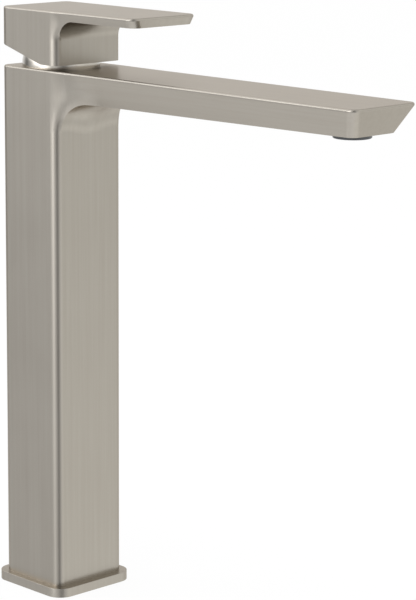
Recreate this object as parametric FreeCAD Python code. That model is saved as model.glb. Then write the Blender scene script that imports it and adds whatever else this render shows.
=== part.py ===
import FreeCAD, Part
import math
import os

# Tall single-lever basin mixer, millimetres.
# Origin: centre of the underside, on the deck. +Z up, the spout points to -Y, +X is its right.

# ---- column, base plate and gasket ----
column_width = 45.0
column_depth = 43.1
column_corner_r = 4.4
column_wall = 4.0
column_inner_r = 1.5
body_height = 270.8           # from the base plate's top face to the body's top face
plate_margin_x = 3.5           # the plate stands out this far past the column
plate_margin_y = 4.7
plate_corner_r = 8.5
plate_thickness = 3.7
plate_edge_r = 0.5
gasket_inset = 1.6
gasket_width = 5.0
gasket_h = 1.6
gasket_proud = 0.3

# ---- spout ----
spout_reach = 202.95          # from the column's front face to the top face's front edge
spout_tip_undercut = 0.5036   # how far the front face runs back per mm of depth
side_flush_step = 0.05        # the arms' top edges lie this much inside the column's sides
spout_side_draft = 0.53       # how far each side runs in per mm of depth
spout_root_depth = 16.2       # top face to underside where the blend meets it
spout_tip_depth = 13.9
spout_tip_corner_r = 4.2
spout_blend_r = 15.4
spout_sweep = 30.0            # length of the sides' S at the top of the blend
spout_wall = 2.6
edge_r = 1.0                  # small rounding of the outer top edges

s_full_rise = 0.6             # share of the blend's height where the S has its full length
s_top_share = 0.35            # share of the S that is its outer bend there

# ---- lever handle ----
lever_gap = 2.5               # body's top face to the lever block
lever_height = 27.7
lever_reach = 56.95           # from the block's front face to the plate's front edge
lever_tip_undercut = 0.2
lever_side_draft = 0.43
lever_plate_thickness = 4.9
lever_tip_corner_r = 5.0
lever_blend_r = 10.2
lever_sweep = 15.0
lever_relief_front_y = -9.9   # the underside rises from here to the rear
lever_relief_slope = 0.285
lever_edge_r = 1.0
lever_roof = 6.0              # metal above the stem's end
hub_r = 7.5
hub_h = 8.0

# ---- dome under the lever, centred on the tilt axis ----
pivot_rise = 0.2              # tilt axis above the body's top face
tilt_deg = 25.0
dome_r = 20.1
dome_rise = 10.2
dome_wall = 1.5
dome_mouth_r = 12.6
lever_dome_gap = 0.4
dome_seal_in_r = 17.9
dome_seal_out_r = 19.1
dome_seal_h = 0.7

# ---- cartridge ----
cartridge_depth = 30.8        # body's top face down to the seat
cartridge_r = 14.0
cartridge_base_h = 6.0
fixed_disc_h = 3.5
moving_disc_h = 3.5
fixed_disc_r = 12.4
moving_disc_r = 10.0
disc_pocket_h = 2.0
disc_pocket_x = 7.4
disc_pocket_front_y = -2.6    # from the disc's centre
disc_pocket_back_y = 2.4
disc_pocket_r = 6.4
carrier_h = 4.9
carrier_flat_x = 8.5
tower_r = 5.0
tower_h = 9.0
shoulder_drop = 8.8           # body's top face down to the housing's shoulder
housing_neck_r = 12.0
housing_neck_h = 13.0
guide_r = 10.45
guide_h = 16.0
guide_flange_r = 12.3
guide_flange_h = 1.7
guide_rib_h = 4.6
guide_rib_y = 5.0
guide_rib_width = 2.2
guide_pocket_y = 9.9
guide_pocket_h = 4.0
guide_slot_y = 7.5
stem_square = 7.0
stem_square_rise = 6.0        # the square starts this far above the tilt axis
stem_neck_r = 1.8
stem_boss_r = 4.2
stem_boss_x = 3.3
ball_r = 2.6
ball_drop = 10.5              # ball centre below the tilt axis
ball_socket_depth = 6.5
pin_r = 1.5
pin_length = 19.0
inlet_port_x = 5.5
inlet_port_y = -3.2
inlet_port_r = 1.9
outlet_port_y = 6.5
outlet_port_r = 2.4
port_seal_width = 1.4
port_seal_h = 1.2
peg_x = 9.0
peg_y = 6.0
peg_r = 1.5
peg_length = 2.5

# ---- clamping nut and its thread in the body ----
nut_r = 16.0
nut_collar_r = 17.3
nut_collar_h = 4.5

# ---- supply tubes and bottom connector ----
tube_x = 7.0
tube_y = -4.5
tube_r = 4.0
tube_wall = 0.8
tube_socket_depth = 10.0
tube_ring_up = 4.0            # ring groove above the socket's lower end
tube_ring_h = 1.6
tube_ring_r = 5.2
tube_seat_r = 3.7             # bore of the ledge the tube's end stands on
insert_h = 20.0
spigot_r = 15.3
hose_thread_r = 4.5
hose_thread_depth = 13.0
stud_thread_r = 2.5
stud_front_y = -12.0
stud_rear_y = 11.0
plate_screw_inset = 4.1       # from the inside of the column's walls
plate_screw_r = 1.5
plate_screw_hex_r = 1.2
plate_screw_length = 12.0
screw_head_r = 2.8
screw_head_h = 1.7
screw_head_sink = 0.2
hex_depth = 1.0

# ---- outlet channel in the body ----
seat_block_h = 22.0
gallery_drop = 6.5            # centre line below the seat
gallery_r = 2.4
riser_r = 2.6
riser_inset = 6.4             # from the column's faces
riser_top_drop = 8.4          # body's top face down to the riser's exit
riser_toe_in = 6.0            # how far the riser's exit turns inwards
spout_cavity_root = 3.45      # from the column's front face
spout_cavity_clear = 2.0      # between the hollow's end and the aerator's bore
spout_floor = 2.2
outlet_channel_h = 2.0
outlet_channel_x = 12.0
outlet_channel_front = 8.7    # past the aerator's axis

# ---- aerator ----
aerator_setback = 21.2        # axis behind the top face's front edge
aerator_r = 9.15
aerator_proud = 2.0           # below the spout's underside at the tip
aerator_height = 9.5
aerator_wall = 1.2
aerator_seal_h = 1.2
aerator_lip_h = 0.7
aerator_lip_r = 7.2
lattice_h = 2.4
lattice_hole_r = 1.1
lattice_pitch = 3.0
screen_h = 0.6
screen_hole_r = 1.7
screen_circle_r = 4.4
jet_plate_h = 2.2
jet_count = 8
jet_hole_r = 0.5
jet_circle_r = 5.6
regulator_h = 1.6
regulator_in_r = 2.2
regulator_out_r = 7.2

# ---- lever fixing screw ----
grub_drop = 3.0               # below the stem's end
grub_r = 2.5
grub_length = 8.0
grub_hex_r = 1.25
grub_hex_depth = 2.5
plug_r = 3.1
plug_h = 2.2

# ---- clearances ----
fit_gap = 0.15                # parts pushed together and fixed
thread_gap = 0.05
running_gap = 0.3             # parts that turn or slide past each other
pin_gap = 0.05

half_w = column_width / 2
half_d = column_depth / 2
plate_width = column_width + 2 * plate_margin_x
plate_depth = column_depth + 2 * plate_margin_y
plate_low_z = gasket_proud
plate_top_z = plate_low_z + plate_thickness
body_top_z = plate_top_z + body_height
up = FreeCAD.Vector(0, 0, 1)
along_x = FreeCAD.Vector(1, 0, 0)
along_y = FreeCAD.Vector(0, 1, 0)


def vec(x, y, z):
    return FreeCAD.Vector(x, y, z)


def cyl(r, z0, z1, x=0.0, y=0.0):
    return Part.makeCylinder(r, z1 - z0, vec(x, y, z0), up)


def ring(r_in, r_out, z0, z1, x=0.0, y=0.0):
    return cyl(r_out, z0, z1, x, y).cut(cyl(r_in, z0, z1, x, y))


def box(x0, x1, y0, y1, z0, z1):
    return Part.makeBox(x1 - x0, y1 - y0, z1 - z0, vec(x0, y0, z0))


def line(a, b):
    return Part.LineSegment(a, b).toShape()


def arc(a, m, b):
    return Part.Arc(a, m, b).toShape()


def rounded_box(width, depth, r, z0, z1):
    """Upright block with rounded vertical corners, centred on the axis."""
    block = box(-width / 2, width / 2, -depth / 2, depth / 2, z0, z1)
    corners = [e for e in block.Edges if abs(e.Vertexes[0].Z - e.Vertexes[1].Z) > (z1 - z0) / 2]
    return block.makeFillet(r, corners)


def union(first, *others):
    return first.multiFuse(list(others)).removeSplitter()


# ---------------------------------------------------------------- tapered arm on a square block
class Arm:
    """A block with an arm that leaves its front, as the spout and the lever both have.

    The arm's sides and tip lean in towards its underside. Near the block the sides
    swing out in an S: the block's rounded corner first, then a hollow arc that meets
    the arm's side. Upwards the S grows longer and flatter, downwards the hollow
    tightens until it is the front face."""

    def __init__(self, top_z, under_root_z, under_tip_z, tip_y, tip_undercut, side_draft, tip_r,
                 blend_r, sweep):
        self.top_z = top_z
        self.under_root_z = under_root_z
        self.under_tip_z = under_tip_z
        self.tip_y = tip_y
        self.tip_undercut = tip_undercut
        self.side_draft = side_draft
        self.tip_r = tip_r
        self.blend_r = blend_r
        self.sweep = sweep
        self.low_z = under_root_z - blend_r

    def half_width(self, z):
        return half_w - side_flush_step - self.side_draft * (self.top_z - z)

    def tip(self, z):
        return self.tip_y + self.tip_undercut * (self.top_z - z)

    def swing(self, z):
        """Length of the S along the arm, and the share of it that the block's corner takes."""
        rise = (z - self.low_z) / (self.top_z - self.low_z)
        t = min(1.0, rise / s_full_rise)
        grown = t * t * (3 - 2 * t)
        least = half_w - self.half_width(self.low_z)
        corner_share = column_corner_r / least
        return (least + (self.sweep - least) * grown,
                corner_share + (s_top_share - corner_share) * grown)

    def section(self, z):
        w = self.half_width(z)
        tip_y = self.tip(z)
        length, share = self.swing(z)
        turn = 2 * math.atan2(half_w - w, length)
        r = share * length / math.sin(turn)
        hollow_r = (1 - share) * length / math.sin(turn)
        corner_y = half_d - column_corner_r
        hx = w + hollow_r
        hy = -corner_y - length
        slant = math.sin(math.pi / 4)

        def half(s):
            back_x = half_w - column_corner_r
            cx = half_w - r
            p = [vec(s * back_x, half_d, z),
                 vec(s * half_w, corner_y, z),
                 vec(s * half_w, -corner_y, z),
                 vec(s * (cx + r * math.cos(turn)), -corner_y - r * math.sin(turn), z),
                 vec(s * w, hy, z),
                 vec(s * w, tip_y + self.tip_r, z),
                 vec(s * (w - self.tip_r), tip_y, z)]
            m = [vec(s * (back_x + column_corner_r * slant), corner_y + column_corner_r * slant, z),
                 None,
                 vec(s * (cx + r * math.cos(turn / 2)), -corner_y - r * math.sin(turn / 2), z),
                 vec(s * (hx - hollow_r * math.cos(turn / 2)), hy + hollow_r * math.sin(turn / 2), z),
                 None,
                 vec(s * (w - self.tip_r + self.tip_r * slant), tip_y + self.tip_r - self.tip_r * slant, z)]
            return p, m

        right, right_mid = half(1)
        left, left_mid = half(-1)
        edges = []
        for i in range(6):
            a, b, m = right[i], right[i + 1], right_mid[i]
            edges.append(line(a, b) if m is None else arc(a, m, b))
        edges.append(line(right[6], left[6]))
        for i in range(5, -1, -1):
            a, b, m = left[i + 1], left[i], left_mid[i]
            edges.append(line(a, b) if m is None else arc(a, m, b))
        edges.append(line(left[0], right[0]))
        return Part.Wire(edges)

    def under_space(self):
        """The space below the arm: in front of the block, under the hollow arc and the underside."""
        r = self.blend_r
        far_y = self.tip_y - 8
        below_z = self.low_z - 2
        mid = r * math.sin(math.pi / 4)
        root_y = -half_d - r
        fall = (self.under_tip_z - self.under_root_z) / (root_y - self.tip_y)
        a = vec(0, -half_d, below_z)
        b = vec(0, -half_d, self.low_z)
        m = vec(0, root_y + mid, self.low_z + mid)
        c = vec(0, root_y, self.under_root_z)
        d = vec(0, far_y, self.under_root_z + fall * (root_y - far_y))
        e = vec(0, far_y, below_z)
        face = Part.Face(Part.Wire([line(a, b), arc(b, m, c), line(c, d), line(d, e), line(e, a)]))
        face.translate(vec(-half_w - 5, 0, 0))
        return face.extrude(vec(column_width + 10, 0, 0))

    def solid(self):
        steps = 6
        levels = [self.low_z + (self.top_z - self.low_z) * i / steps for i in range(steps + 1)]
        loft = Part.makeLoft([self.section(z) for z in levels], True, False)
        return loft.cut(self.under_space())


def level_edges(shape, z):
    return [e for e in shape.Edges if abs(e.BoundBox.ZMin - z) < 1e-4 and abs(e.BoundBox.ZMax - z) < 1e-4]


# ---- heights and places that follow from the values above ----
spout_tip_y = -half_d - spout_reach
spout = Arm(body_top_z, body_top_z - spout_root_depth, body_top_z - spout_tip_depth, spout_tip_y,
            spout_tip_undercut, spout_side_draft, spout_tip_corner_r, spout_blend_r, spout_sweep)
lever_low_z = body_top_z + lever_gap
lever_top_z = lever_low_z + lever_height
lever_under_z = lever_top_z - lever_plate_thickness
lever = Arm(lever_top_z, lever_under_z, lever_under_z, -half_d - lever_reach,
            lever_tip_undercut, lever_side_draft, lever_tip_corner_r, lever_blend_r, lever_sweep)
stem_top_z = lever_top_z - lever_roof
hub_low_z = stem_top_z - hub_h
grub_z = stem_top_z - grub_drop

pivot_z = body_top_z + pivot_rise
dome_top_z = pivot_z + dome_rise
nut_low_z = body_top_z - shoulder_drop
collar_low_z = body_top_z + running_gap
collar_top_z = collar_low_z + nut_collar_h

seat_z = body_top_z - cartridge_depth
disc_low_z = seat_z + cartridge_base_h
disc_face_z = disc_low_z + fixed_disc_h
carrier_low_z = disc_face_z + moving_disc_h
carrier_top_z = carrier_low_z + carrier_h
tower_top_z = carrier_low_z + tower_h
guide_low_z = carrier_top_z + 2 * running_gap
guide_shoulder_z = guide_low_z + guide_flange_h + running_gap
disc_rest_y = ball_drop * math.sin(math.radians(tilt_deg)) / 2      # half the disc's stroke

seat_block_low_z = seat_z - seat_block_h
socket_roof_z = seat_block_low_z + tube_socket_depth
gallery_z = seat_z - gallery_drop
riser_x = half_w - riser_inset
riser_y = -half_d + riser_inset
riser_top_z = body_top_z - riser_top_drop
insert_top_z = plate_top_z + insert_h
tube_low_z = insert_top_z - tube_socket_depth
counterbore_top_z = plate_low_z + screw_head_h + screw_head_sink
plate_screw_x = half_w - column_wall - plate_screw_inset
plate_screw_y = half_d - column_wall - plate_screw_inset

aerator_y = spout_tip_y + aerator_setback
aerator_low_z = body_top_z - spout_tip_depth - aerator_proud
aerator_top_z = aerator_low_z + aerator_height
aerator_ledge_z = aerator_top_z + aerator_seal_h
outlet_channel_top_z = body_top_z - spout_wall
spout_cavity_root_y = -half_d - spout_cavity_root
spout_cavity_tip_y = aerator_y + aerator_r + spout_cavity_clear

side_places = (-1, 1)
port_places = [(-inlet_port_x, inlet_port_y, inlet_port_r), (inlet_port_x, inlet_port_y, inlet_port_r),
               (0, outlet_port_y, outlet_port_r)]
screw_places = [(i * plate_screw_x, j * plate_screw_y) for i in side_places for j in side_places]


# ---------------------------------------------------------------- column and spout
def spout_cavity():
    """Tapered hollow of the spout and the shallow channel on to the aerator."""
    low_z = spout.under_tip_z + spout_floor
    sections = []
    for z in (low_z, outlet_channel_top_z):
        x = spout.half_width(z) - spout_wall
        corners = [vec(-x, spout_cavity_root_y, z), vec(x, spout_cavity_root_y, z),
                   vec(x, spout_cavity_tip_y, z), vec(-x, spout_cavity_tip_y, z)]
        sections.append(Part.makePolygon(corners + corners[:1]))
    hollow = Part.makeLoft(sections, True, True)
    front_y = aerator_y - outlet_channel_front
    channel = box(-outlet_channel_x, outlet_channel_x, front_y, spout_cavity_tip_y + 1,
                  outlet_channel_top_z - outlet_channel_h, outlet_channel_top_z)
    return hollow.fuse(channel)


def outlet_way():
    """Seat port, gallery forward, cross gallery and the two risers up into the spout."""
    port = cyl(outlet_port_r, gallery_z, seat_z, 0, outlet_port_y)
    forward = Part.makeCylinder(gallery_r, outlet_port_y - riser_y, vec(0, riser_y, gallery_z), along_y)
    across = Part.makeCylinder(gallery_r, 2 * riser_x, vec(-riser_x, riser_y, gallery_z), along_x)
    way = [forward, across]
    for side in side_places:
        foot = vec(side * riser_x, riser_y, riser_top_z)
        mouth = vec(side * (riser_x - riser_toe_in), spout_cavity_root_y - 2, riser_top_z)
        way.append(cyl(riser_r, gallery_z, riser_top_z, side * riser_x, riser_y))
        way.append(Part.makeSphere(riser_r, foot))
        way.append(Part.makeCylinder(riser_r, foot.distanceToPoint(mouth), foot, mouth - foot))
    return port.multiFuse(way)


def make_body():
    column = rounded_box(column_width, column_depth, column_corner_r, plate_top_z, spout.low_z)
    outer = union(column, spout.solid())
    outer = outer.makeFillet(edge_r, level_edges(outer, body_top_z))
    inside = rounded_box(column_width - 2 * column_wall, column_depth - 2 * column_wall, column_inner_r,
                         plate_top_z - 1, seat_block_low_z)
    throat_r = aerator_r - aerator_wall - fit_gap
    spaces = [inside, spout_cavity(), outlet_way(),
              cyl(cartridge_r + fit_gap, seat_z, nut_low_z),
              cyl(nut_r, nut_low_z, body_top_z + 1),
              cyl(aerator_r + fit_gap, aerator_low_z - 1, aerator_ledge_z, 0, aerator_y),
              cyl(throat_r, aerator_ledge_z - 1, outlet_channel_top_z, 0, aerator_y)]
    for side in side_places:
        x = side * tube_x
        spaces.append(cyl(tube_r + fit_gap, seat_block_low_z - 1, socket_roof_z, x, tube_y))
        groove_z = seat_block_low_z + tube_ring_up
        spaces.append(cyl(tube_ring_r, groove_z, groove_z + tube_ring_h, x, tube_y))
        spaces.append(cyl(inlet_port_r, socket_roof_z - 1, seat_z + 1, side * inlet_port_x, inlet_port_y))
        spaces.append(cyl(peg_r + fit_gap, seat_z - peg_length - fit_gap, seat_z + 1, side * peg_x, peg_y))
    return outer.cut(spaces)


# ---------------------------------------------------------------- foot
def gasket_frame(gap):
    """Square frame under the plate's rim, grown by a gap on both sides."""
    inset = gasket_inset - gap
    outer = rounded_box(plate_width - 2 * inset, plate_depth - 2 * inset,
                        plate_corner_r - inset, 0, gasket_h)
    inset = gasket_inset + gasket_width + gap
    return outer.cut(rounded_box(plate_width - 2 * inset, plate_depth - 2 * inset,
                                 plate_corner_r - inset, -1, gasket_h + 1))


def make_base_plate():
    plate = rounded_box(plate_width, plate_depth, plate_corner_r, plate_low_z, plate_top_z)
    plate = plate.makeFillet(plate_edge_r, level_edges(plate, plate_top_z))
    spaces = [cyl(spigot_r + fit_gap, plate_low_z - 1, plate_top_z + 1), gasket_frame(fit_gap)]
    for x, y in screw_places:
        spaces.append(cyl(screw_head_r + fit_gap, plate_low_z - 1, counterbore_top_z, x, y))
        spaces.append(cyl(plate_screw_r + fit_gap, plate_low_z - 1, plate_top_z + 1, x, y))
    return plate.cut(spaces)


def make_base_insert():
    """Connector block: hose threads and stud threads from below, tube sockets on top."""
    block = rounded_box(column_width - 2 * column_wall - 2 * thread_gap,
                        column_depth - 2 * column_wall - 2 * thread_gap,
                        column_inner_r, plate_top_z, insert_top_z)
    solid = block.fuse(cyl(spigot_r, 0, plate_top_z + 1))
    spaces = []
    for side in side_places:
        x = side * tube_x
        spaces.append(cyl(hose_thread_r, -1, hose_thread_depth, x, tube_y))
        spaces.append(cyl(tube_seat_r, hose_thread_depth - 1, tube_low_z + 1, x, tube_y))
        spaces.append(cyl(tube_r + fit_gap, tube_low_z, insert_top_z + 1, x, tube_y))
        groove_z = tube_low_z + tube_ring_up
        spaces.append(cyl(tube_ring_r, groove_z, groove_z + tube_ring_h, x, tube_y))
    for y in (stud_front_y, stud_rear_y):
        spaces.append(cyl(stud_thread_r, -1, insert_top_z + 1, 0, y))
    for x, y in screw_places:
        spaces.append(cyl(plate_screw_r + thread_gap, plate_top_z - 1,
                          counterbore_top_z + plate_screw_length + fit_gap, x, y))
    return solid.cut(spaces)


def make_plate_screws():
    screws = []
    for x, y in screw_places:
        head = cyl(screw_head_r, counterbore_top_z - screw_head_h, counterbore_top_z, x, y)
        shank = cyl(plate_screw_r, counterbore_top_z - 0.5, counterbore_top_z + plate_screw_length, x, y)
        socket = cyl(plate_screw_hex_r, counterbore_top_z - screw_head_h - 1,
                     counterbore_top_z - screw_head_h + hex_depth, x, y)
        screws.append(union(head, shank).cut(socket))
    return Part.makeCompound(screws)


# ---------------------------------------------------------------- supply tubes
def make_supply_tube(side):
    return ring(tube_r - tube_wall, tube_r, tube_low_z, socket_roof_z - running_gap, side * tube_x, tube_y)


def make_tube_o_rings():
    rings = []
    for side in side_places:
        for z in (tube_low_z + tube_ring_up, seat_block_low_z + tube_ring_up):
            rings.append(ring(tube_r, tube_ring_r, z, z + tube_ring_h, side * tube_x, tube_y))
    return Part.makeCompound(rings)


# ---------------------------------------------------------------- cartridge, fixed pieces
def make_cartridge_base():
    solid = cyl(cartridge_r, seat_z, disc_low_z)
    pegs = [cyl(peg_r, seat_z - peg_length, seat_z + 1, side * peg_x, peg_y) for side in side_places]
    solid = union(solid, *pegs)
    spaces = []
    for x, y, r in port_places:
        spaces.append(cyl(r, seat_z - 1, disc_low_z + 1, x, y))
        spaces.append(cyl(r + port_seal_width, seat_z - 1, seat_z + port_seal_h, x, y))
    return solid.cut(spaces)


def make_port_seals():
    return Part.makeCompound([ring(r, r + port_seal_width, seat_z, seat_z + port_seal_h, x, y)
                              for x, y, r in port_places])


def make_fixed_disc():
    disc = cyl(fixed_disc_r, disc_low_z, disc_face_z)
    return disc.cut([cyl(r, disc_low_z - 1, disc_face_z + 1, x, y) for x, y, r in port_places])


def make_cartridge_housing():
    neck_top_z = nut_low_z + housing_neck_h
    outer = union(cyl(cartridge_r, disc_low_z, nut_low_z), cyl(housing_neck_r, disc_low_z, neck_top_z))
    return outer.cut([cyl(guide_flange_r + running_gap, disc_low_z - 1, guide_shoulder_z),
                      cyl(guide_r + running_gap, disc_low_z, neck_top_z + 1)])


def make_clamp_nut():
    collar = cyl(nut_collar_r, collar_low_z, collar_top_z)
    nut = union(cyl(nut_r - thread_gap, nut_low_z, collar_top_z), collar)
    return nut.cut(cyl(housing_neck_r + fit_gap, nut_low_z - 1, collar_top_z + 1))


def make_dome_cap():
    """Part of a sphere about the tilt axis, screwed on to the nut's collar and open on top."""
    outer = Part.makeSphere(dome_r, vec(0, 0, pivot_z))
    outer = outer.common(cyl(dome_r + 1, body_top_z, dome_top_z))
    inner = Part.makeSphere(dome_r - dome_wall, vec(0, 0, pivot_z))
    inner = inner.common(cyl(dome_r + 1, collar_top_z, dome_top_z - dome_wall))
    return outer.cut([inner, cyl(nut_collar_r + thread_gap, body_top_z - 1, collar_top_z + thread_gap),
                      cyl(dome_mouth_r, body_top_z - 1, dome_top_z + 1),
                      ring(dome_seal_in_r, dome_seal_out_r, body_top_z - 1, body_top_z + dome_seal_h)])


def make_dome_seal():
    return ring(dome_seal_in_r, dome_seal_out_r, body_top_z, body_top_z + dome_seal_h)


# ---------------------------------------------------------------- cartridge, moving pieces
def make_moving_disc():
    disc = cyl(moving_disc_r, disc_face_z, carrier_low_z, 0, disc_rest_y)
    roof_z = disc_face_z + disc_pocket_h
    wide = box(-disc_pocket_x, disc_pocket_x, disc_rest_y + disc_pocket_front_y,
               disc_rest_y + disc_pocket_back_y, disc_face_z - 1, roof_z)
    bowl = cyl(disc_pocket_r, disc_face_z - 1, roof_z, 0, disc_rest_y + disc_pocket_back_y)
    return disc.cut([wide, bowl])


def make_disc_carrier():
    plate = cyl(moving_disc_r, carrier_low_z, carrier_top_z, 0, disc_rest_y)
    plate = plate.common(box(-carrier_flat_x, carrier_flat_x, -moving_disc_r * 2, moving_disc_r * 2,
                             carrier_low_z, carrier_top_z))
    tower = cyl(tower_r, carrier_low_z, tower_top_z)
    socket = cyl(ball_r + running_gap, tower_top_z - ball_socket_depth, tower_top_z + 1)
    return union(plate, tower).cut(socket)


def make_swivel_guide():
    """Turns in the housing neck; carries the tilt pin and leads the disc carrier."""
    top_z = guide_low_z + guide_h
    outer = union(cyl(guide_r, guide_low_z, top_z),
                  cyl(guide_flange_r, guide_low_z, guide_low_z + guide_flange_h))
    rib_x = carrier_flat_x + running_gap
    for side in side_places:
        near, far = sorted((side * rib_x, side * (rib_x + guide_rib_width)))
        outer = outer.fuse(box(near, far, -guide_rib_y, guide_rib_y, guide_low_z - guide_rib_h,
                              guide_low_z + thread_gap))
    pocket_x = tower_r + running_gap
    slot_x = stem_boss_x + running_gap
    pin_hole = Part.makeCylinder(pin_r + thread_gap, pin_length, vec(-pin_length / 2, 0, pivot_z), along_x)
    return outer.removeSplitter().cut(
        [box(-pocket_x, pocket_x, -guide_pocket_y, guide_pocket_y, guide_low_z - guide_rib_h,
             guide_low_z + guide_pocket_h),
         box(-slot_x, slot_x, -guide_slot_y, guide_slot_y, guide_low_z - 1, top_z + 1),
         pin_hole])


def make_pivot_pin():
    return Part.makeCylinder(pin_r, pin_length, vec(-pin_length / 2, 0, pivot_z), along_x)


def make_cartridge_stem():
    """Ball below the pin, square above it."""
    half = stem_square / 2
    ball_z = pivot_z - ball_drop
    square_low_z = pivot_z + stem_square_rise
    boss = Part.makeCylinder(stem_boss_r, 2 * stem_boss_x, vec(-stem_boss_x, 0, pivot_z), along_x)
    solid = union(boss, Part.makeSphere(ball_r, vec(0, 0, ball_z)), cyl(stem_neck_r, ball_z, pivot_z),
                  box(-stem_boss_x, stem_boss_x, -half, half, pivot_z, square_low_z + 1),
                  box(-half, half, -half, half, square_low_z, stem_top_z))
    return solid.cut(Part.makeCylinder(pin_r + pin_gap, stem_square, vec(-half, 0, pivot_z), along_x))


# ---------------------------------------------------------------- lever
def make_lever_handle():
    block = rounded_box(column_width, column_depth, column_corner_r, lever_low_z, lever.low_z)
    outer = union(block, lever.solid())
    outer = outer.makeFillet(lever_edge_r, level_edges(outer, lever_top_z))
    rear_y = half_d + 5
    rise = lever_relief_slope * (rear_y - lever_relief_front_y)
    low_z = lever_low_z
    wedge = Part.makePolygon([vec(-half_w - 5, lever_relief_front_y, low_z),
                              vec(-half_w - 5, rear_y, low_z + rise),
                              vec(-half_w - 5, rear_y, low_z - 1),
                              vec(-half_w - 5, lever_relief_front_y, low_z - 1),
                              vec(-half_w - 5, lever_relief_front_y, low_z)])
    relief = Part.Face(wedge).extrude(vec(column_width + 10, 0, 0))
    cavity = Part.makeSphere(dome_r + lever_dome_gap, vec(0, 0, pivot_z))
    cavity = cavity.cut(cyl(hub_r, hub_low_z, lever_top_z))
    half = stem_square / 2 + thread_gap
    socket = box(-half, half, -half, half, hub_low_z - 1, stem_top_z)
    screw_hole = Part.makeCylinder(grub_r + thread_gap, half_d, vec(0, 0, grub_z), along_y)
    plug_hole = Part.makeCylinder(plug_r + thread_gap, plug_h + 1, vec(0, half_d - plug_h, grub_z), along_y)
    return outer.cut([relief, cavity, socket, screw_hole, plug_hole])


def make_lever_screw():
    tip_y = stem_square / 2
    screw = Part.makeCylinder(grub_r, grub_length, vec(0, tip_y, grub_z), along_y)
    foot = vec(0, tip_y + grub_length - grub_hex_depth, grub_z)
    return screw.cut(Part.makeCylinder(grub_hex_r, grub_hex_depth, foot, along_y))


def make_screw_cover():
    return Part.makeCylinder(plug_r, plug_h, vec(0, half_d - plug_h, grub_z), along_y)


# ---------------------------------------------------------------- aerator
lattice_low_z = aerator_low_z + aerator_lip_h
screen_low_z = lattice_low_z + lattice_h
jet_plate_low_z = screen_low_z + screen_h
regulator_low_z = jet_plate_low_z + jet_plate_h
aerator_inner_r = aerator_r - aerator_wall


def hole_ring(count, circle_r, r, z0, z1):
    """Upright holes evenly round the aerator's axis."""
    holes = []
    for i in range(count):
        a = 2 * math.pi * i / count
        holes.append(cyl(r, z0 - 1, z1 + 1, circle_r * math.cos(a), aerator_y + circle_r * math.sin(a)))
    return holes


def insert_disc(z0, height, holes):
    return cyl(aerator_inner_r - thread_gap, z0, z0 + height, 0, aerator_y).cut(holes)


def make_aerator_housing():
    shell = cyl(aerator_r, aerator_low_z, aerator_top_z, 0, aerator_y)
    return shell.cut([cyl(aerator_inner_r, lattice_low_z, aerator_top_z + 1, 0, aerator_y),
                      cyl(aerator_lip_r, aerator_low_z - 1, aerator_top_z, 0, aerator_y)])


def make_aerator_lattice():
    z1 = lattice_low_z + lattice_h
    holes = [cyl(lattice_hole_r, lattice_low_z - 1, z1 + 1, 0, aerator_y)]
    holes += hole_ring(6, lattice_pitch, lattice_hole_r, lattice_low_z, z1)
    holes += hole_ring(12, 2 * lattice_pitch, lattice_hole_r, lattice_low_z, z1)
    return insert_disc(lattice_low_z, lattice_h, holes)


def make_aerator_screen():
    holes = hole_ring(6, screen_circle_r, screen_hole_r, screen_low_z, jet_plate_low_z)
    return insert_disc(screen_low_z, screen_h, holes)


def make_jet_plate():
    holes = hole_ring(jet_count, jet_circle_r, jet_hole_r, jet_plate_low_z, jet_plate_low_z + jet_plate_h)
    return insert_disc(jet_plate_low_z, jet_plate_h, holes)


def make_flow_regulator():
    top_z = regulator_low_z + regulator_h
    return ring(regulator_in_r, regulator_out_r, regulator_low_z, top_z, 0, aerator_y)


def make_aerator_seal():
    return ring(aerator_inner_r, aerator_r, aerator_top_z, aerator_ledge_z, 0, aerator_y)


# ---------------------------------------------------------------- export
nodes = {
    "faucet_body": make_body(),
    "base_plate": make_base_plate(),
    "base_gasket": gasket_frame(0),
    "base_insert": make_base_insert(),
    "plate_screws": make_plate_screws(),
    "cold_supply_tube": make_supply_tube(1),
    "hot_supply_tube": make_supply_tube(-1),
    "tube_o_rings": make_tube_o_rings(),
    "cartridge_base": make_cartridge_base(),
    "port_seals": make_port_seals(),
    "fixed_disc": make_fixed_disc(),
    "cartridge_housing": make_cartridge_housing(),
    "clamp_nut": make_clamp_nut(),
    "dome_cap": make_dome_cap(),
    "dome_seal": make_dome_seal(),
    "aerator_housing": make_aerator_housing(),
    "aerator_lattice": make_aerator_lattice(),
    "aerator_screen": make_aerator_screen(),
    "jet_plate": make_jet_plate(),
    "flow_regulator": make_flow_regulator(),
    "aerator_seal": make_aerator_seal(),
    "moving_disc": make_moving_disc(),
    "disc_carrier": make_disc_carrier(),
    "swivel_guide": make_swivel_guide(),
    "pivot_pin": make_pivot_pin(),
    "cartridge_stem": make_cartridge_stem(),
    "lever_handle": make_lever_handle(),
    "lever_screw": make_lever_screw(),
    "screw_cover": make_screw_cover(),
}

os.makedirs("parts", exist_ok=True)
for name, shape in nodes.items():
    shape.exportStep("parts/" + name + ".step")
    print(name, "solids", len(shape.Solids), "valid", shape.isValid(), "volume", round(shape.Volume, 1))
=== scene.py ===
import bpy
import bmesh
import math
from mathutils import Matrix, Vector


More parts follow.
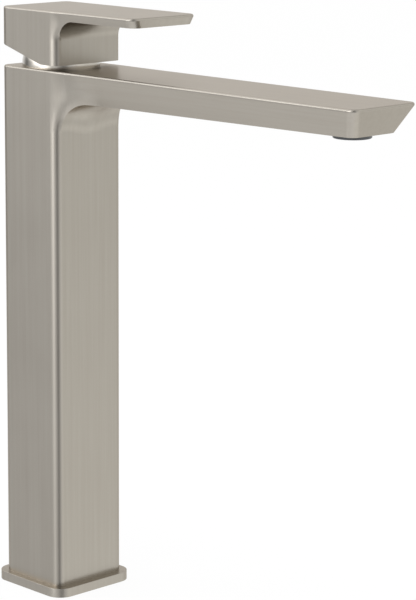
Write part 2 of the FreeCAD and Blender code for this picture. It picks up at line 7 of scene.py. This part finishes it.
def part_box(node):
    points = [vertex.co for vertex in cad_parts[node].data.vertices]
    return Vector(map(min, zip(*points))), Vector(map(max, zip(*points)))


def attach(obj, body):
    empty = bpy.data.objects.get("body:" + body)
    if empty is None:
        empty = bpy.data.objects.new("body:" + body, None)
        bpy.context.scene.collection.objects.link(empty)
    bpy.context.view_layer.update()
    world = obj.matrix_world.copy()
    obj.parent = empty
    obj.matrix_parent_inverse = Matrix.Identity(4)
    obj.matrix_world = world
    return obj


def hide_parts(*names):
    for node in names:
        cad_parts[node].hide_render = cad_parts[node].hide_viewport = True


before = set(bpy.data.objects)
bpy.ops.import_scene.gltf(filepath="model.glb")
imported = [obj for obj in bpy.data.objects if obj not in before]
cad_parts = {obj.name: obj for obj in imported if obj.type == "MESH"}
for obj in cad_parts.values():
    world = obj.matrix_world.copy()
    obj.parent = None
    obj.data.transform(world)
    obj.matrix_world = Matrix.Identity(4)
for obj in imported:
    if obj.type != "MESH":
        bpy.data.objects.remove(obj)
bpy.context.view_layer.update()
print("frame loaded:", len(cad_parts), "nodes")

camera = {
    "position": (-0.811735, -0.945999, 0.414228),
    "yaw": -44.1192,      # degrees, 0 looks along +Y
    "pitch": 9.8005,      # degrees down
    "roll": 0.282,
    "focalPixels": 2429.97,
    "frameLongSide": 600,
    "shiftDown": 0.15,    # of the frame's long side
    "sensor": 36,         # millimetres
    "clip": (0.05, 30),
}


def makeCamera(spec):
    yaw, pitch, roll = (math.radians(spec[k]) for k in ("yaw", "pitch", "roll"))
    back = Vector((math.sin(yaw) * math.cos(pitch), -math.cos(yaw) * math.cos(pitch), math.sin(pitch)))
    right = Vector((math.cos(yaw), math.sin(yaw), 0))
    up = back.cross(right)
    rolledRight = right * math.cos(roll) + up * math.sin(roll)
    rolledUp = up * math.cos(roll) - right * math.sin(roll)
    data = bpy.data.cameras.new("photoCamera")
    data.sensor_width = spec["sensor"]
    data.lens = spec["focalPixels"] / spec["frameLongSide"] * spec["sensor"]
    data.shift_y = -spec["shiftDown"]
    data.clip_start, data.clip_end = spec["clip"]
    cam = bpy.data.objects.new("photoCamera", data)
    bpy.context.scene.collection.objects.link(cam)
    rotation = Matrix((rolledRight, rolledUp, back)).transposed().to_4x4()
    cam.matrix_world = Matrix.Translation(spec["position"]) @ rotation
    bpy.context.scene.camera = cam


makeCamera(camera)
print("camera placed")


# a node's output that takes part in Python expressions
class Sock:
    def __init__(self, graph, socket):
        self.graph = graph
        self.socket = socket

    def math(self, operation, other=None, third=None):
        return self.graph.math(operation, self, other, third)

    def __add__(self, other):
        return self.math("ADD", other)

    def __radd__(self, other):
        return self.graph.math("ADD", other, self)

    def __sub__(self, other):
        return self.math("SUBTRACT", other)

    def __rsub__(self, other):
        return self.graph.math("SUBTRACT", other, self)

    def __mul__(self, other):
        return self.math("MULTIPLY", other)

    def __rmul__(self, other):
        return self.graph.math("MULTIPLY", other, self)

    def __truediv__(self, other):
        return self.math("DIVIDE", other)

    def __rtruediv__(self, other):
        return self.graph.math("DIVIDE", other, self)

    def clamp(self):
        return self.graph.node("ShaderNodeClamp", {}, {"Value": self})["Result"]

    def smooth(self, low, high):
        sockets = {"Value": self, "From Min": low, "From Max": high}
        return self.graph.node("ShaderNodeMapRange", {"interpolation_type": "SMOOTHSTEP"}, sockets)["Result"]


class Node:
    def __init__(self, graph, node):
        self.graph = graph
        self.node = node

    def __getitem__(self, name):
        return Sock(self.graph, self.node.outputs[name])


class Graph:
    def __init__(self, tree):
        self.tree = tree

    def plug(self, target, value):
        if isinstance(value, Sock):
            self.tree.links.new(value.socket, target)
        else:
            target.default_value = value

    def node(self, kind, settings=None, sockets=None):
        node = self.tree.nodes.new(kind)
        for name, value in (settings or {}).items():
            setattr(node, name, value)
        for name, value in (sockets or {}).items():
            self.plug(node.inputs[name], value)
        return Node(self, node)

    def math(self, operation, *values):
        node = self.node("ShaderNodeMath", {"operation": operation})
        for i, value in enumerate(v for v in values if v is not None):
            self.plug(node.node.inputs[i], value)
        return node["Value"]

    def mixColour(self, factor, a, b):
        node = self.node("ShaderNodeMix", {"data_type": "RGBA"}).node
        # the colour sockets of a Mix node share their names with its other sockets
        for i, value in ((0, factor), (6, a), (7, b)):
            self.plug(node.inputs[i], value)
        return Sock(self, node.outputs[2])

    def noise(self, vector, scale, detail=3.0, roughness=0.5):
        sockets = {"Vector": vector, "Scale": scale, "Detail": detail, "Roughness": roughness}
        return self.node("ShaderNodeTexNoise", {}, sockets)["Fac"]

    def stretched(self, vector, scale):
        return self.node("ShaderNodeMapping", {}, {"Vector": vector, "Scale": scale})["Vector"]

    def bump(self, height, distance, strength=1.0):
        sockets = {"Height": height, "Distance": distance, "Strength": strength}
        return self.node("ShaderNodeBump", {}, sockets)["Normal"]


def newMaterial(name):
    material = bpy.data.materials.new(name)
    material.use_nodes = True
    material.node_tree.nodes.clear()
    return material, Graph(material.node_tree)


def finishMaterial(graph, shader):
    out = graph.node("ShaderNodeOutputMaterial")
    graph.plug(out.node.inputs["Surface"], shader)


def rgba(colour):
    return (colour[0], colour[1], colour[2], 1.0)


nickel = {
    "light": (0.360, 0.338, 0.303),
    "dark": (0.325, 0.302, 0.268),
    "grazingTint": (0.885, 0.83, 0.765),
    "roughness": 0.30,
    "roughStreaks": 0.05,       # how much the streaks and the clouds change the roughness
    "roughClouds": 0.06,
    "streaksAcross": 2400,      # brush marks per metre across the grain
    "streaksAlong": 26,
    "broadAcross": 420,
    "broadAlong": 9,
    "cloudScale": 22,
    "streakTone": 1.0,          # how much each pattern changes the colour
    "broadTone": 1.3,
    "cloudTone": 0.8,
    "markDepth": 0.000012,
    "markStrength": 0.6,
    "broadMark": 0.6,
}

# where the grain turns from upright to lengthwise, in metres: forward of the axis, and the lever's top
grainTurns = {
    "spout": {"forward": (0.024, 0.040)},
    "lever": {"forward": (0.021, 0.030), "upward": (0.3042, 0.3048)},
    "upright": None,
}


def brushedNickel(name, grain, spec=nickel, turns=grainTurns):
    material, g = newMaterial(name)
    place = g.node("ShaderNodeTexCoord")["Object"]

    def streaks(axis):
        fine = [spec["streaksAcross"]] * 3
        broad = [spec["broadAcross"]] * 3
        fine[axis] = spec["streaksAlong"]
        broad[axis] = spec["broadAlong"]
        return (g.noise(g.stretched(place, tuple(fine)), 1.0, 4.0, 0.6),
                g.noise(g.stretched(place, tuple(broad)), 1.0, 2.0, 0.5))

    fine, broad = streaks(2)
    turn = turns[grain]
    if turn:
        fineAlong, broadAlong = streaks(1)
        xyz = g.node("ShaderNodeSeparateXYZ", {}, {"Vector": place})
        run = (-1 * xyz["Y"]).smooth(*turn["forward"])
        if "upward" in turn:
            run = run.math("MAXIMUM", xyz["Z"].smooth(*turn["upward"]))
        fine = fine * (1 - run) + fineAlong * run
        broad = broad * (1 - run) + broadAlong * run
    cloud = g.noise(place, spec["cloudScale"])
    tone = ((fine - 0.5) * spec["streakTone"] + (broad - 0.5) * spec["broadTone"]
            + (cloud - 0.5) * spec["cloudTone"] + 0.5).clamp()
    rough = (fine - 0.5) * spec["roughStreaks"] + (cloud - 0.5) * spec["roughClouds"] + spec["roughness"]
    shader = g.node("ShaderNodeBsdfPrincipled", {}, {
        "Base Color": g.mixColour(tone, rgba(spec["dark"]), rgba(spec["light"])),
        "Metallic": 1.0,
        "Roughness": rough,
        "Specular Tint": rgba(spec["grazingTint"]),
        "Normal": g.bump(fine + broad * spec["broadMark"], spec["markDepth"], spec["markStrength"])})
    finishMaterial(g, shader["BSDF"])
    return material


polish = {
    "colour": (0.50, 0.475, 0.435),
    "haze": (0.44, 0.415, 0.375),
    "hazeScale": 120,
    "smoothest": 0.10,
    "roughRings": 0.06,
    "rings": (60, 60, 2600),    # fine turning marks round the upright axis
    "ringDepth": 0.000004,
    "ringStrength": 0.4,
}


def polishedNickel(name, spec=polish):
    material, g = newMaterial(name)
    place = g.node("ShaderNodeTexCoord")["Object"]
    haze = g.noise(place, spec["hazeScale"])
    rings = g.noise(g.stretched(place, spec["rings"]), 1.0)
    shader = g.node("ShaderNodeBsdfPrincipled", {}, {
        "Base Color": g.mixColour(haze, rgba(spec["haze"]), rgba(spec["colour"])),
        "Metallic": 1.0,
        "Roughness": rings * spec["roughRings"] + spec["smoothest"],
        "Normal": g.bump(rings, spec["ringDepth"], spec["ringStrength"])})
    finishMaterial(g, shader["BSDF"])
    return material


metals = {
    "brass": {"name": "machinedBrass", "light": (0.62, 0.44, 0.20), "dark": (0.50, 0.34, 0.14),
              "smoothest": 0.23, "marks": (200, 200, 2600)},
    "copper": {"name": "drawnCopper", "light": (0.66, 0.33, 0.20), "dark": (0.52, 0.24, 0.14),
               "smoothest": 0.25, "marks": (900, 900, 20)},
    "steel": {"name": "stainlessSteel", "light": (0.56, 0.56, 0.57), "dark": (0.44, 0.44, 0.45),
              "smoothest": 0.21, "marks": (300, 300, 300)},
}
metalSurface = {"stainScale": 60, "markTone": 0.6, "stainTone": 0.5, "darker": 0.05,
                "roughMarks": 0.12, "markDepth": 0.00001, "markStrength": 0.5}


def plainMetal(spec, surface=metalSurface):
    material, g = newMaterial(spec["name"])
    place = g.node("ShaderNodeTexCoord")["Object"]
    marks = g.noise(g.stretched(place, spec["marks"]), 1.0, 4.0, 0.6)
    stain = g.noise(place, surface["stainScale"])
    tone = (marks * surface["markTone"] + stain * surface["stainTone"] - surface["darker"]).clamp()
    shader = g.node("ShaderNodeBsdfPrincipled", {}, {
        "Base Color": g.mixColour(tone, rgba(spec["dark"]), rgba(spec["light"])),
        "Metallic": 1.0,
        "Roughness": marks * surface["roughMarks"] + spec["smoothest"],
        "Normal": g.bump(marks, surface["markDepth"], surface["markStrength"])})
    finishMaterial(g, shader["BSDF"])
    return material


mouldings = {
    "rubber": {"name": "blackRubber", "light": (0.030, 0.030, 0.031), "dark": (0.014, 0.014, 0.015),
               "smoothest": 0.55, "grainScale": 900, "grainDepth": 0.00002},
    "acetal": {"name": "greyAcetal", "light": (0.150, 0.155, 0.165), "dark": (0.105, 0.108, 0.115),
               "smoothest": 0.35, "grainScale": 900, "grainDepth": 0.00002},
    "aerator": {"name": "darkAcetal", "light": (0.060, 0.064, 0.072), "dark": (0.036, 0.038, 0.043),
                "smoothest": 0.23, "grainScale": 900, "grainDepth": 0.00002},
    "plug": {"name": "coverPlug", "light": (0.26, 0.245, 0.22), "dark": (0.20, 0.19, 0.17),
             "smoothest": 0.29, "grainScale": 900, "grainDepth": 0.00002},
    "ceramic": {"name": "aluminaCeramic", "light": (0.82, 0.80, 0.75), "dark": (0.72, 0.70, 0.65),
                "smoothest": 0.09, "grainScale": 1600, "grainDepth": 0.000006},
}
mouldedSurface = {"cloudScale": 90, "cloudTone": 0.8, "grainTone": 0.3, "darker": 0.05,
                  "roughGrain": 0.14, "grainStrength": 0.6}


def mouldedPlastic(spec, surface=mouldedSurface):
    material, g = newMaterial(spec["name"])
    place = g.node("ShaderNodeTexCoord")["Object"]
    grain = g.noise(place, spec["grainScale"], 4.0, 0.6)
    cloud = g.noise(place, surface["cloudScale"])
    tone = (cloud * surface["cloudTone"] + grain * surface["grainTone"] - surface["darker"]).clamp()
    shader = g.node("ShaderNodeBsdfPrincipled", {}, {
        "Base Color": g.mixColour(tone, rgba(spec["dark"]), rgba(spec["light"])),
        "Roughness": grain * surface["roughGrain"] + spec["smoothest"],
        "Normal": g.bump(grain, spec["grainDepth"], surface["grainStrength"])})
    finishMaterial(g, shader["BSDF"])
    return material


finishes = {
    "body": brushedNickel("brushedNickelBody", "spout"),
    "lever": brushedNickel("brushedNickelLever", "lever"),
    "plate": brushedNickel("brushedNickelPlate", "upright"),
    "dome": polishedNickel("polishedNickelDome"),
}
for finish, settings in metals.items():
    finishes[finish] = plainMetal(settings)
for finish, settings in mouldings.items():
    finishes[finish] = mouldedPlastic(settings)
print("finishes made:", len(finishes))

nodeFinish = {
    "faucet_body": "body", "lever_handle": "lever", "base_plate": "plate", "dome_cap": "dome",
    "base_gasket": "rubber", "base_insert": "brass", "plate_screws": "steel",
    "cold_supply_tube": "copper", "hot_supply_tube": "copper", "tube_o_rings": "rubber",
    "cartridge_base": "acetal", "port_seals": "rubber", "fixed_disc": "ceramic",
    "moving_disc": "ceramic", "cartridge_housing": "acetal", "clamp_nut": "brass",
    "dome_seal": "rubber", "aerator_housing": "acetal", "aerator_lattice": "acetal",
    "aerator_screen": "steel", "jet_plate": "acetal", "flow_regulator": "rubber",
    "aerator_seal": "rubber", "disc_carrier": "acetal", "swivel_guide": "acetal",
    "pivot_pin": "steel", "cartridge_stem": "brass", "lever_screw": "steel", "screw_cover": "plug",
}

for name, finish in nodeFinish.items():
    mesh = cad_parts[name].data
    if mesh.materials:
        mesh.materials[0] = finishes[finish]
    else:
        mesh.materials.append(finishes[finish])
print("node materials set")


def newPiece(name, bm, material):
    mesh = bpy.data.meshes.new(name)
    bm.to_mesh(mesh)
    bm.free()
    if "custom_normal" in mesh.attributes:       # a CAD copy's own shading no longer fits
        mesh.attributes.remove(mesh.attributes["custom_normal"])
    piece = bpy.data.objects.new(name, mesh)
    bpy.context.scene.collection.objects.link(piece)
    mesh.materials.append(material)
    return piece


def smoothShaded(piece, sharpFrom=32):
    for face in piece.data.polygons:
        face.use_smooth = True
    piece.data.set_sharp_from_angle(angle=math.radians(sharpFrom))


footPlate = {
    "thicker": 0.0008,         # the top face is this much higher than the plain plate's
    "lowRim": 0.00004,         # the outer rim comes down this near to the deck
    "rimInset": 0.0015,
    "cornerR": 0.0085,
    "edgeRound": 0.0006,       # reach of the top edge's rounding
    "edgeKept": 0.25,          # share of it that is kept
    "mergeWithin": 0.000001,
    "levelWithin": 0.00001,
}


# a merged copy of the square plate whose rim is as high as the cast one's
def makeFootPlate(spec):
    low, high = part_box("base_plate")
    corner = spec["cornerR"]
    bm = bmesh.new()
    bm.from_mesh(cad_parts["base_plate"].data)
    bmesh.ops.remove_doubles(bm, verts=bm.verts, dist=spec["mergeWithin"])
    middle = (low[2] + high[2]) / 2
    for v in bm.verts:
        # the way out, and the distance past the outline, negative inside
        out = Vector((max(abs(v.co.x) - high[0] + corner, 0), max(abs(v.co.y) - high[1] + corner, 0)))
        past = out.length - corner
        if v.co.z > middle:
            if -spec["edgeRound"] < past < 0:
                out.normalize()
                push = -past * (1 - spec["edgeKept"])
                v.co.x += math.copysign(out.x, v.co.x) * push
                v.co.y += math.copysign(out.y, v.co.y) * push
                v.co.z = high[2] - (high[2] - v.co.z) * spec["edgeKept"]
            v.co.z += spec["thicker"]
        elif v.co.z < low[2] + spec["levelWithin"] and past > -spec["rimInset"]:
            v.co.z = spec["lowRim"]
    piece = newPiece("footPlate", bm, finishes["plate"])
    smoothShaded(piece)
    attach(piece, "faucet")
    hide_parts("base_plate")


makeFootPlate(footPlate)
print("foot plate made")

hollowSag = {
    "faceY": -0.02155,         # the column's front face
    "lowZ": 0.2432,            # where the plain hollow starts on it
    "radius": 0.0154,
    "sag": 0.0026,             # how much lower the hollow starts in the middle
    "halfWidthLow": 0.0170,
    "halfWidthHigh": 0.0120,
    "below": 0.0045,           # how far the skin runs down the flat face
    "flatRows": 12,
    "angleStep": 2,
    "fadeFrom": 46,            # degrees up the hollow where it goes back into the plain one
    "topAngle": 84,
    "sunk": 0.000001,          # the skin's edges lie this deep in the metal
    "depth": 0.0012,
    "columns": 40,
}


# skin over the plain hollow under the spout, so that its lower border hangs in a curve
def makeHollowSag(spec):
    r, top, last = spec["radius"], spec["topAngle"], spec["columns"]
    rows = [(-spec["below"] * (1 - i / spec["flatRows"]), 0) for i in range(spec["flatRows"])]
    rows += [(0, angle) for angle in range(0, top + 1, spec["angleStep"])]
    bm = bmesh.new()
    front, back = [], []
    for drop, degrees in rows:
        c, s = math.cos(math.radians(degrees)), math.sin(math.radians(degrees))
        y, z = spec["faceY"] - r + r * c, spec["lowZ"] + drop + r * s
        outward = Vector((0, -c, -s))
        share = degrees / top
        halfWidth = spec["halfWidthLow"] * (1 - share) + spec["halfWidthHigh"] * share
        fade = min(max((degrees - spec["fadeFrom"]) / (top - spec["fadeFrom"]), 0), 1)
        fade = 1 - fade * fade * (3 - 2 * fade)
        front.append([])
        back.append([])
        for i in range(last + 1):
            across = 2 * i / last - 1
            sag = spec["sag"] * math.cos(math.pi * across / 2) ** 2
            wide = r + sag     # the wider hollow's own radius
            if degrees == 0:
                lift = wide - math.sqrt(wide * wide - max(drop + sag, 0) ** 2)
            else:
                lift = r + sag * (c + s) - math.sqrt(sag * sag * ((c + s) ** 2 - 2) + wide * wide)
            place = Vector((across * halfWidth, y, z))
            front[-1].append(bm.verts.new(place + outward * (lift * fade - spec["sunk"])))
            back[-1].append(bm.verts.new(place - outward * spec["depth"]))
    for a in range(len(rows) - 1):
        b = a + 1
        for i in range(last):
            bm.faces.new((front[a][i], front[a][i + 1], front[b][i + 1], front[b][i]))
            bm.faces.new((back[a][i], back[b][i], back[b][i + 1], back[a][i + 1]))
        bm.faces.new((front[a][0], front[b][0], back[b][0], back[a][0]))
        bm.faces.new((front[a][last], back[a][last], back[b][last], front[b][last]))
    for i in range(last):
        bm.faces.new((front[0][i], back[0][i], back[0][i + 1], front[0][i + 1]))
        bm.faces.new((front[-1][i], front[-1][i + 1], back[-1][i + 1], back[-1][i]))
    bmesh.ops.recalc_face_normals(bm, faces=bm.faces)
    piece = newPiece("hollowSag", bm, finishes["body"])
    smoothShaded(piece)
    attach(piece, "faucet")


makeHollowSag(hollowSag)
print("hollow's lower border made")

aerator = {
    "axisY": -0.2033,
    "lowZ": 0.25830,
    "height": 0.0092,
    "outerR": 0.00915,
    "wall": 0.0012,
    "rimRound": 0.0005,
    "lipR": 0.0072,
    "lipHeight": 0.0008,
    "lipRound": 0.0003,
    "keyRecesses": 12,
    "recessDepth": 0.00055,
    "steps": 96,
    "combPitch": 0.0020,       # from one cell's middle to the next
    "combWall": 0.00028,
    "combHeight": 0.0024,
    "combR": 0.0079,
    "combGrid": 13,            # cells on each side of the grid before it is cut round
    "combClear": 0.45,         # of the pitch, from the outermost cells' middles to the ring
    "combRimSteps": 64,
}


# moulded ring: rounded rim outside, key recesses in the lip inside
def makeAeratorShell(spec):
    z0, outer, lip, bend, soft = (spec[k] for k in ("lowZ", "outerR", "lipR", "rimRound", "lipRound"))
    inner = outer - spec["wall"]
    topZ, lipZ = z0 + spec["height"], z0 + spec["lipHeight"]
    outside = [(inner, topZ), (outer, topZ), (outer, z0 + bend)]
    outside += [(outer - bend + bend * math.cos(a), z0 + bend - bend * math.sin(a))
                for a in (math.radians(30), math.radians(60), math.radians(90))]
    lipPoints = [(lip + soft, z0), (lip, z0 + soft), (lip, lipZ)]
    profile = outside + lipPoints + [(inner, lipZ)]
    bm = bmesh.new()
    rings = []
    for step in range(spec["steps"]):
        turn = 2 * math.pi * step / spec["steps"]
        recessed = step * spec["keyRecesses"] * 2 // spec["steps"] % 2
        rings.append([])
        for i, (r, z) in enumerate(profile):
            if recessed and 0 <= i - len(outside) < len(lipPoints):
                r = min(r + spec["recessDepth"], inner)
            rings[-1].append(bm.verts.new((r * math.cos(turn), spec["axisY"] + r * math.sin(turn), z)))
    for step, points in enumerate(rings):
        following = rings[(step + 1) % len(rings)]
        for i in range(len(profile)):
            j = (i + 1) % len(profile)
            bm.faces.new((points[i], following[i], following[j], points[j]))
    bmesh.ops.recalc_face_normals(bm, faces=bm.faces)
    piece = newPiece("aeratorShell", bm, finishes["aerator"])
    smoothShaded(piece)
    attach(piece, "faucet")
    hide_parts("aerator_housing")


# honeycomb of six-sided cells inside a thin ring; returns the tree and its inputs' identifiers
def combTree(spec, material, sizes):
    tree = bpy.data.node_groups.new("aeratorComb", "GeometryNodeTree")
    tree.interface.new_socket("Geometry", in_out="INPUT", socket_type="NodeSocketGeometry")
    identifiers = {}
    for name, size in sizes.items():
        socket = tree.interface.new_socket(name, in_out="INPUT", socket_type="NodeSocketFloat")
        socket.default_value = size
        identifiers[name] = socket.identifier
    tree.interface.new_socket("Geometry", in_out="OUTPUT", socket_type="NodeSocketGeometry")
    g = Graph(tree)
    inputs = g.node("NodeGroupInput")
    pitch, wall, height, radius = (inputs[name] for name in ("Pitch", "Wall", "Height", "Radius"))

    def position():
        return g.node("GeometryNodeInputPosition")["Position"]

    def bar(width):
        sockets = {"Width": width, "Height": height}
        return g.node("GeometryNodeCurvePrimitiveQuadrilateral", {}, sockets)["Curve"]

    def ring(corners, size, profile):
        sockets = {"Resolution": corners, "Radius": size}
        line = g.node("GeometryNodeCurvePrimitiveCircle", {"mode": "RADIUS"}, sockets)["Curve"]
        return g.node("GeometryNodeCurveToMesh", {}, {"Curve": line, "Profile Curve": profile})["Mesh"]

    # a square grid of points, sheared so that each row lies half a cell along from the last
    count = spec["combGrid"]
    grid = g.node("GeometryNodeMeshGrid", {}, {"Vertices X": count, "Vertices Y": count,
                                               "Size X": count - 1.0, "Size Y": count - 1.0})["Mesh"]
    xyz = g.node("ShaderNodeSeparateXYZ", {}, {"Vector": position()})
    place = g.node("ShaderNodeCombineXYZ", {}, {"X": (xyz["X"] + xyz["Y"] * 0.5) * pitch,
                                                "Y": xyz["Y"] * pitch * (math.sqrt(3) / 2)})["Vector"]
    spread = g.node("GeometryNodeSetPosition", {}, {"Geometry": grid, "Position": place})["Geometry"]
    distance = g.node("ShaderNodeVectorMath", {"operation": "LENGTH"}, {"Vector": position()})["Value"]
    tooFar = g.node("FunctionNodeCompare", {"data_type": "FLOAT", "operation": "GREATER_THAN"},
                    {"A": distance, "B": radius - pitch * spec["combClear"]})["Result"]
    kept = g.node("GeometryNodeDeleteGeometry", {"domain": "POINT"},
                  {"Geometry": spread, "Selection": tooFar})["Geometry"]
    cell = g.node("GeometryNodeTransform", {}, {"Geometry": ring(6, pitch / math.sqrt(3), bar(wall)),
                                                "Rotation": (0, 0, math.pi / 6)})["Geometry"]
    cells = g.node("GeometryNodeInstanceOnPoints", {}, {"Points": kept, "Instance": cell})["Instances"]
    rim = ring(spec["combRimSteps"], radius - wall, bar(wall * 2))
    joined = g.node("GeometryNodeJoinGeometry")
    for part in (rim, cells):
        tree.links.new(part.socket, joined.node.inputs["Geometry"])
    solid = g.node("GeometryNodeRealizeInstances", {}, {"Geometry": joined["Geometry"]})["Geometry"]
    dressed = g.node("GeometryNodeSetMaterial", {}, {"Geometry": solid, "Material": material})["Geometry"]
    g.plug(g.node("NodeGroupOutput").node.inputs["Geometry"], dressed)
    return tree, identifiers


def treeToMesh(name, tree, identifiers, sizes):
    holder = bpy.data.objects.new(name, bpy.data.meshes.new(name + "Seed"))
    bpy.context.scene.collection.objects.link(holder)
    modifier = holder.modifiers.new(name, "NODES")
    modifier.node_group = tree
    for label, size in sizes.items():
        modifier[identifiers[label]] = size
    graph = bpy.context.evaluated_depsgraph_get()
    mesh = bpy.data.meshes.new_from_object(holder.evaluated_get(graph))
    holder.modifiers.remove(modifier)
    holder.data = mesh
    return holder


def makeAeratorComb(spec):
    sizes = {"Pitch": spec["combPitch"], "Wall": spec["combWall"], "Height": spec["combHeight"],
             "Radius": spec["combR"]}
    tree, identifiers = combTree(spec, finishes["aerator"], sizes)
    piece = treeToMesh("aeratorComb", tree, identifiers, sizes)
    middle = spec["lowZ"] + spec["lipHeight"] + spec["combHeight"] / 2
    piece.data.transform(Matrix.Translation((0, spec["axisY"], middle)))
    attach(piece, "faucet")
    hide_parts("aerator_lattice")


makeAeratorShell(aerator)
makeAeratorComb(aerator)
print("aerator made")

studio = {
    "floorHalf": 12.0,
    "floorColour": (0.95, 0.95, 0.95),
    "floorWhite": 0.92,        # share of plain white that the camera sees
    "roomLevel": 0.98,
    "warmWhite": (1.0, 0.995, 0.965),
    "warmFrom": 82,            # degrees round the faucet between which the white turns warm
    "warmFull": 108,
}

# lighter and darker parts of the white room, as metal sees them: middle and half width round the
# faucet from -X towards -Y, lowest and highest elevation, all in degrees, the softness of those
# two ends, and how much is added
roomParts = {
    "cornerStrip": {"angle": -2, "halfWidth": 26, "low": -9.5, "high": 95, "soft": 10.5, "gain": 2.2},
    "gap": {"angle": 55, "halfWidth": 31, "low": -29, "high": 95, "soft": 7, "gain": -0.65},
    "shoulder": {"angle": 103, "halfWidth": 24, "low": -45, "high": 40, "soft": 8, "gain": 0.20},
    "frontWall": {"angle": 134, "halfWidth": 62, "low": -75, "high": 2, "soft": 7, "gain": 0.09},
    "frontFoot": {"angle": 120, "halfWidth": 70, "low": -29, "high": -12, "soft": 7, "gain": 0.22},
    "frontBand": {"angle": 131, "halfWidth": 44, "low": -28, "high": -20.5, "soft": 3, "gain": 0.14},
    "underTip": {"angle": 172, "halfWidth": 34, "low": -50, "high": -28, "soft": 5, "gain": 0.09},
    "frontBox": {"angle": 131, "halfWidth": 36, "low": 16, "high": 40, "soft": 6, "gain": 0.55},
    "leftWall": {"angle": -60, "halfWidth": 60, "low": -34, "high": 4, "soft": 6, "gain": -0.11},
    "leftBox": {"angle": -48, "halfWidth": 44, "low": 7, "high": 26, "soft": 5, "gain": 1.9},
    "domeBox": {"angle": -25, "halfWidth": 29, "low": -2, "high": 24, "soft": 4, "gain": 2.3},
    "leftSky": {"angle": -76, "halfWidth": 64, "low": 28, "high": 62, "soft": 8, "gain": 0.8},
    "behindLeft": {"angle": -74, "halfWidth": 28, "low": -12, "high": 26, "soft": 6, "gain": -0.60},
    "lowLeft": {"angle": -72, "halfWidth": 60, "low": -60, "high": -30, "soft": 8, "gain": 0.19},
    "pool": {"angle": 53, "halfWidth": 230, "low": -95, "high": -46, "soft": 4, "gain": 0.42},
}


# white that glossy surfaces see, by the direction round the faucet
def reflectedLevel(g, direction, spec=studio, parts=roomParts):
    xyz = g.node("ShaderNodeSeparateXYZ", {}, {"Vector": direction})
    angle = (0 - xyz["Y"]).math("ARCTAN2", 0 - xyz["X"])
    rise = xyz["Z"].math("ARCSINE")
    level = spec["roomLevel"]
    for part in parts.values():
        centre, halfWidth, low, high, soft = (math.radians(part[k]) for k in
                                              ("angle", "halfWidth", "low", "high", "soft"))
        aside = (angle - centre).math("WRAP", math.pi, -math.pi).math("ABSOLUTE")
        across = 1 - aside.smooth(0, halfWidth)
        upward = rise.smooth(low - soft, low + soft) * (1 - rise.smooth(high - soft, high + soft))
        level = across * upward * part["gain"] + level
    warm = angle.smooth(math.radians(spec["warmFrom"]), math.radians(spec["warmFull"]))
    return level, g.mixColour(warm, rgba((1, 1, 1)), rgba(spec["warmWhite"]))


def makeFloor(spec):
    half = spec["floorHalf"]
    mesh = bpy.data.meshes.new("floor")
    corners = [(-half, -half, 0), (half, -half, 0), (half, half, 0), (-half, half, 0)]
    mesh.from_pydata(corners, [], [(0, 1, 2, 3)])
    floor = bpy.data.objects.new("floor", mesh)
    bpy.context.scene.collection.objects.link(floor)
    material, g = newMaterial("paleFloor")
    rays = g.node("ShaderNodeLightPath")
    seen = (rays["Is Camera Ray"] + rays["Is Glossy Ray"] + rays["Is Transmission Ray"]).clamp()
    matt = g.node("ShaderNodeBsdfDiffuse", {}, {"Color": rgba(spec["floorColour"])})["BSDF"]
    white = g.node("ShaderNodeEmission", {}, {"Color": rgba((1, 1, 1)), "Strength": 1.0})["Emission"]
    mix = g.node("ShaderNodeMixShader").node
    for i, value in enumerate((seen * spec["floorWhite"], matt, white)):
        g.plug(mix.inputs[i], value)
    finishMaterial(g, Sock(g, mix.outputs[0]))
    material.cycles.emission_sampling = "NONE"
    floor.data.materials.append(material)
    floor.visible_glossy = False       # the metal shows the white room around instead


def makeWorld():
    world = bpy.data.worlds.new("studioWorld")
    bpy.context.scene.world = world
    world.use_nodes = True
    world.cycles.sampling_method = "NONE"
    world.node_tree.nodes.clear()
    g = Graph(world.node_tree)
    reflected = g.node("ShaderNodeLightPath")["Is Glossy Ray"]
    level, tint = reflectedLevel(g, g.node("ShaderNodeTexCoord")["Generated"])
    sky = g.node("ShaderNodeBackground", {}, {"Color": g.mixColour(reflected, rgba((1, 1, 1)), tint),
                                              "Strength": 1 + (level - 1) * reflected})
    out = g.node("ShaderNodeOutputWorld")
    g.plug(out.node.inputs["Surface"], sky["Background"])


lamps = {
    "overhead": {"at": (-0.25, -0.30, 1.25), "aim": (0, -0.08, 0.25), "size": (0.45, 0.45), "power": 2.2},
    "backLeft": {"at": (-0.30, 1.00, 0.95), "aim": (0, -0.08, 0.27), "size": (0.7, 0.5), "power": 3.0},
}


def makeLamp(name, spec):
    data = bpy.data.lights.new(name, "AREA")
    data.shape = "RECTANGLE"
    data.size, data.size_y = spec["size"]
    data.energy = spec["power"]
    lamp = bpy.data.objects.new(name, data)
    bpy.context.scene.collection.objects.link(lamp)
    lamp.location = spec["at"]
    lamp.rotation_euler = (Vector(spec["aim"]) - Vector(spec["at"])).to_track_quat("-Z", "Y").to_euler()
    lamp.visible_glossy = False        # the metal's highlights come from the room's own light parts


makeFloor(studio)
makeWorld()
for lampName, lampSpec in lamps.items():
    makeLamp(lampName, lampSpec)
bpy.context.scene.view_settings.view_transform = "Standard"
print("floor and lamps set")
